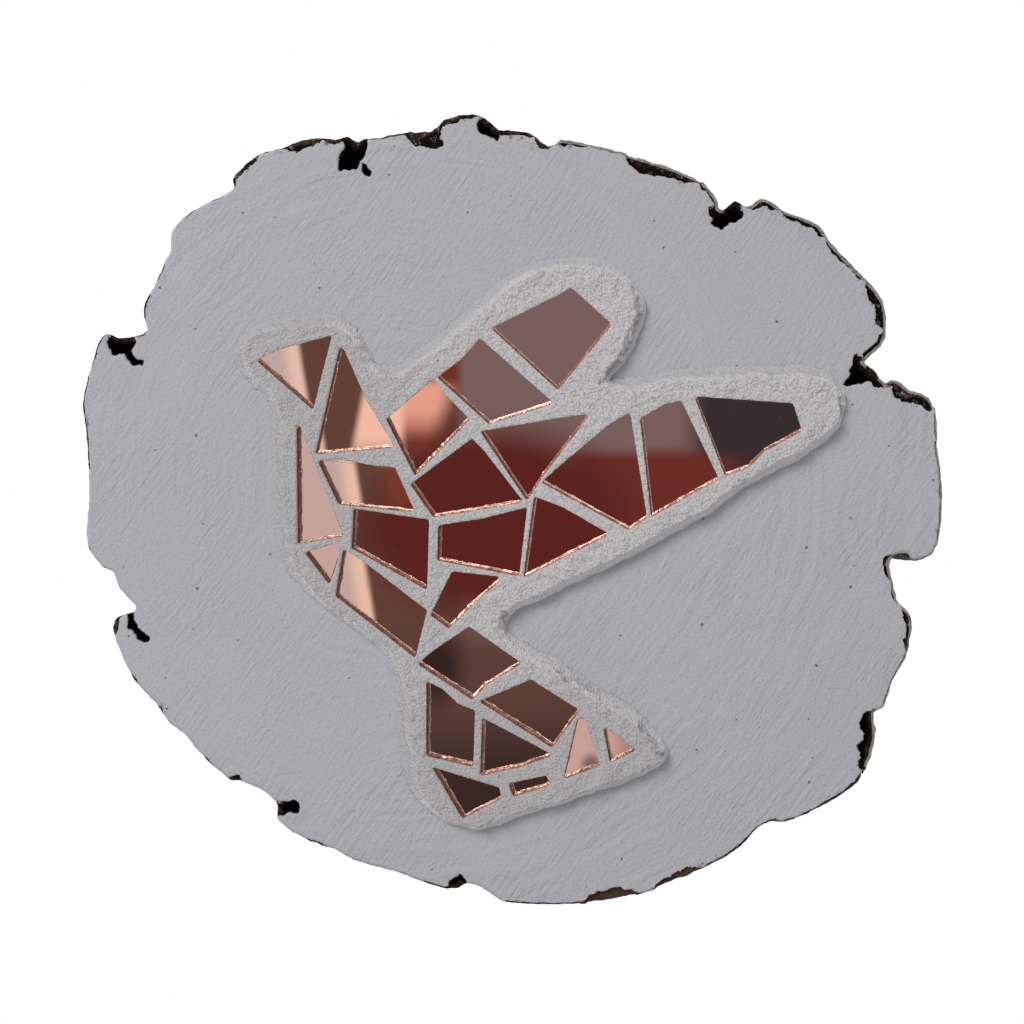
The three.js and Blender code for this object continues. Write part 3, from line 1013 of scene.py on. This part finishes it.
def shard_rings(corners, tilt, look, seed):
    """The outlines of a shard from its back to the edge of its mirror face."""
    out = sides_moved_in(corners, -np.full(len(corners), GLASS_CLEARANCE + look.seat))
    normals = outward_normals(out)
    middles = (out + np.roll(out, -1, axis=0)) / 2
    away = np.sum(normals * (middles - on_panel(*CUTS_LEAN_FROM, GLASS_STEP)), axis=1)
    # How far each side faces GLINT_SIDE: it sets the painted glint of its cut edge and widens the
    # cut.
    bright = smoothstep(normals @ np.array(GLINT_SIDE), 0.45, 1.0)
    covered = smoothstep(-normals[:, 1], -0.5, -0.05)
    widths = np.maximum(CUT_LEAN * away * covered * (1 + 0.2 * bright), 0.45 * MM * bright)
    widths = np.clip(widths, 0.01 * MM, look.widest_cut)
    share = widths / look.widest_cut
    arrises = look.arris * np.clip(share * 3 - 0.3, 0.03, 1)
    steepness = 0.95 - 0.55 * bright

    outer, side = walked(out, look.outline_step)
    rank = np.concatenate([np.arange(count) / count for count in np.bincount(side)])

    def along_sides(inset_corners):
        after = np.roll(inset_corners, -1, axis=0)
        return inset_corners[side] + rank[:, None] * (after - inset_corners)[side]

    bite = np.clip(rough(outer, 0.9 * MM, seed) + 0.1, 0, 1) ** 1.4
    bite = (bite * look.nibble * np.clip(0.2 + 1.3 * share, 0, 1.3)[side])[:, None]
    cut = along_sides(sides_moved_in(out, look.seat + widths)) - normals[side] * bite
    face = along_sides(sides_moved_in(out, look.seat + widths + arrises)) - normals[side] * bite
    jag = rough(outer, 0.45 * MM, seed + 5) * 0.35 * widths[side]
    middle = out.mean(axis=0)

    def at_depth(ring, depth, rise=0.0):
        return np.stack([ring[:, 0], np.broadcast_to(depth, len(ring)) + rise, ring[:, 1]], axis=1)

    def tilted(ring, depth):
        return at_depth(ring, GLASS_Y + depth, (ring - middle) @ np.array(tilt))

    drop = (widths * steepness)[side] + 0.05 * MM
    rings = [
        at_depth(outer, FACE_Y),
        tilted(outer, drop + jag + look.seat),
        tilted(cut, arrises[side] * 0.4 + np.abs(jag) * 0.3),
        tilted(face, 0.0),
    ]
    steps = np.linalg.norm(np.diff(outer, axis=0), axis=1)
    along = np.append(0, np.cumsum(steps)) / MM
    return rings, {"bright": bright[side], "along": along}


class MOSAIC_OT_mirror_shards(bpy.types.Operator):
    """Makes each mirror shard with its leaning, nibbled cut edges."""

    bl_idname = "mosaic.mirror_shards"
    bl_label = "Mirror shards"

    def execute(self, context):
        look = context.scene.mosaic_shards
        chance = np.random.default_rng(26)
        materials = [mirror_material(look), cut_glass_material(look)]
        names = sorted(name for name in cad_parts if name.startswith("shard_"))
        for number, node_name in enumerate(names):
            name = node_name.removeprefix("shard_")
            pattern = merged_copy(node_name, "pattern")
            corners = outline_at(pattern.data, GLASS_Y)
            bpy.data.objects.remove(pattern)
            tilt = SHARD_TILTS.get(name, chance.normal(0, 0.0015, 2))
            rings, values_round = shard_rings(corners, tilt, look, 100 + 10 * number)
            piece = skin("mirror_" + name, rings, values_round)
            for material in materials:
                piece.data.materials.append(material)
            smooth_by_angle(piece, 12)
            for polygon in piece.data.polygons:
                flat_face = len(polygon.vertices) > 4
                polygon.material_index = 0 if flat_face else 1
                polygon.use_smooth = not flat_face
            finished(piece, [node_name])
        return {"FINISHED"}


# The stage

def room_world(look, copper):
    """White behind the panel, even light all round, and in the mirrors a quiet made-up room, pale
    at the left, warm and dark in the middle and grey at the right."""
    world = bpy.data.worlds.new("studio_room")
    bpy.context.scene.world = world
    nodes = Nodes(world)
    direction = nodes.add("ShaderNodeTexCoord", output="Generated")
    dx, dy, dz = nodes.parts(direction)
    ahead = dy.worked("MAXIMUM", dy * -1.0, 0.05)
    x = dx / ahead * MIRROR_REACH + float(GRID_MIDDLE[0])
    y = float(GRID_MIDDLE[1]) - dz / ahead * MIRROR_REACH

    def seen(red, green, blue):
        """What the room needs there for a mirror to show this screen colour."""
        return tuple(c / tint for c, tint in zip(linear(red, green, blue), copper))

    def blob(centre, size, soft):
        across = (x - float(centre[0])) / float(size[0])
        up = (y - float(centre[1])) / float(size[1])
        return nodes.step(nodes.distance(across, up), 1.0 + soft, 1.0 - soft)

    def between(value, low, high, soft):
        rising = nodes.step(value, low - soft, low + soft)
        return rising * nodes.step(value, high + soft, high - soft)

    lit = nodes.step(x - (426.0 - y) * 0.2, 355.0, 365.0)
    lit = lit * nodes.step(x + (y - 400.0) * 0.35, 460.0, 434.0)
    lit = lit * nodes.step(y, 470.0, 430.0) * nodes.step(y, 372.0, 392.0)
    dusk = nodes.mixed(nodes.step(y, 408.0, 448.0), seen(236, 154, 127), seen(128, 52, 43))
    fading = nodes.mixed(nodes.step(x, 396.0, 408.0), seen(250, 182, 155), dusk)
    from_strip = x - (y - 460.0) * 0.17
    low_down = nodes.step(y, 685.0, 705.0)
    red_width = between(x, 560.0, 735.0, 25.0)
    corner_width = between(x, 400.0, 458.0, 10.0)
    sideways = x - 512.0
    below = y - 512.0
    floorwards = nodes.step(below * below - sideways * sideways, -20000.0, 120000.0)
    lamps = nodes.noise(nodes.vector(x / 420.0, y / 260.0, 0.0), 1.0, 2.0)
    lamp = scaled(seen(255, 226, 212), 3.6)
    glints = nodes.mixed(nodes.step(lamps, 0.47, 0.55), seen(132, 60, 46), lamp)
    layers = {
        "dark wall": (nodes.step(x, 672.0, 712.0) * nodes.step(y, 370.0, 392.0), seen(56, 43, 44)),
        "brown at the left": (nodes.step(x, 466.0, 452.0), seen(100, 62, 50)),
        "red band": (red_width * nodes.step(y, 440.0, 458.0), seen(108, 44, 36)),
        "brown below": (nodes.step(y, 590.0, 660.0), seen(94, 61, 52)),
        "darker at the foot": (nodes.step(y, 680.0, 790.0), seen(58, 38, 33)),
        "dark red middle": (blob((490, 520), (135, 92), 0.3), seen(92, 34, 29)),
        "red corner": (corner_width * nodes.step(y, 420.0, 380.0), seen(112, 48, 34)),
        "orange glow": (lit, fading),
        "bright strip": (nodes.step(from_strip, 335.0, 327.0), seen(236, 184, 158)),
        "pale wall": (nodes.step(from_strip, 325.0, 309.0), seen(199, 160, 150)),
        "small red patch": (blob((378, 480), (15, 26), 0.5) * 0.7, seen(132, 58, 46)),
        "shadow": (blob((432, 664), (26, 32), 0.6) * 0.85, seen(42, 26, 23)),
        "pale corner": (nodes.step(x, 588.0, 600.0) * low_down, seen(205, 155, 142)),
        "its far end": (nodes.step(x, 634.0, 662.0) * low_down, seen(160, 122, 114)),
        "small dark spot": (blob((636, 762), (9, 9), 0.7) * 0.8, seen(95, 65, 62)),
        "pale far left": (nodes.step(x, -100.0, -300.0), seen(236, 190, 174)),
        "dark far left": (nodes.step(x, -1200.0, -2200.0), seen(118, 50, 38)),
        "lamps far below": (floorwards * nodes.step(y, 860.0, 1050.0), glints),
    }
    room = seen(122, 92, 87)
    for share, shown in layers.values():
        room = nodes.mixed(share, room, shown)

    path = nodes.add("ShaderNodeLightPath", output="Is Glossy Ray")
    camera = nodes.add("ShaderNodeLightPath", output="Is Camera Ray")
    even = scaled((0.97, 0.985, 1.0), look.room_light)
    colour_seen = nodes.mixed(path, even, room)
    colour_seen = nodes.mixed(camera, colour_seen, (1.0, 1.0, 1.0))
    background = nodes.add("ShaderNodeBackground", inputs={"Color": colour_seen, "Strength": 1.0})
    nodes.add("ShaderNodeOutputWorld", inputs={"Surface": background})


def floor_material():
    material, nodes = new_material("pale_floor")
    place, _, _, _ = nodes.place()
    tone = nodes.noise(place, 60.0, 3.0)
    nodes.surface(
        base_color=nodes.mixed(tone, (0.78, 0.78, 0.77), (0.82, 0.82, 0.81)),
        roughness=0.9,
    )
    return material


class MOSAIC_OT_stage(bpy.types.Operator):
    """Sets up the pale floor, the soft light and the camera."""

    bl_idname = "mosaic.stage"
    bl_label = "Stage"

    def execute(self, context):
        look = context.scene.mosaic_stage
        room_world(look, context.scene.mosaic_shards.copper)
        middle = on_panel(512, 512, GLASS_STEP)
        bpy.ops.object.select_all(action="DESELECT")
        bpy.ops.object.camera_add(
            location=(middle[0], GLASS_Y - look.camera_distance, middle[1]),
            rotation=(math.radians(90), 0, 0),
        )
        camera = context.object
        camera.name = "camera"
        camera.data.sensor_fit = "HORIZONTAL"
        camera.data.angle = look.camera_angle
        camera.data.clip_start = 0.01
        context.scene.camera = camera

        aim = (-KEY_PLACE).to_track_quat("-Z", "Y").to_euler()
        bpy.ops.object.light_add(type="AREA", location=KEY_PLACE, rotation=aim)
        key = context.object
        key.name = "key_light"
        key.data.energy = look.key_power
        key.data.size = KEY_SIZE
        key.data.color = (1.0, 0.99, 0.975)

        low = CAD_BOX[0][2] - look.floor_drop
        bpy.ops.mesh.primitive_plane_add(size=FLOOR_SIZE, location=(0, 0, low))
        floor = context.object
        floor.name = "floor"
        bpy.ops.object.transform_apply(location=True, rotation=False, scale=False)
        floor.data.materials.append(floor_material())
        context.scene.view_settings.view_transform = "Standard"
        return {"FINISHED"}


class MOSAIC_PT_sidebar(bpy.types.Panel):
    """Lists the steps that make the panel, with their sizes and colours."""

    bl_idname = "MOSAIC_PT_sidebar"
    bl_label = "Mosaic bird panel"
    bl_space_type = "VIEW_3D"
    bl_region_type = "UI"
    bl_category = "Mosaic"

    def draw(self, context):
        for operator, settings_name in STEPS:
            box = self.layout.box()
            box.operator(operator.bl_idname)
            settings = getattr(context.scene, settings_name)
            for name in settings.__annotations__:
                box.prop(settings, name)


SETTINGS = {
    "mosaic_slice": MosaicSliceSettings,
    "mosaic_grout": MosaicGroutSettings,
    "mosaic_shards": MosaicShardSettings,
    "mosaic_stage": MosaicStageSettings,
}
STEPS = (
    (MOSAIC_OT_stage, "mosaic_stage"),
    (MOSAIC_OT_wood_slice, "mosaic_slice"),
    (MOSAIC_OT_grout_bed, "mosaic_grout"),
    (MOSAIC_OT_mirror_shards, "mosaic_shards"),
)
CLASSES = (*SETTINGS.values(), *(operator for operator, _ in STEPS), MOSAIC_PT_sidebar)


def register():
    for cls in CLASSES:
        bpy.utils.register_class(cls)
    for name, settings in SETTINGS.items():
        setattr(bpy.types.Scene, name, bpy.props.PointerProperty(type=settings))


def unregister():
    for name in SETTINGS:
        delattr(bpy.types.Scene, name)
    for cls in reversed(CLASSES):
        bpy.utils.unregister_class(cls)


def main():
    register()
    bpy.ops.mosaic.stage()
    bpy.ops.mosaic.wood_slice()
    bpy.ops.mosaic.grout_bed()
    bpy.ops.mosaic.mirror_shards()


if __name__ == "__main__":
    main()
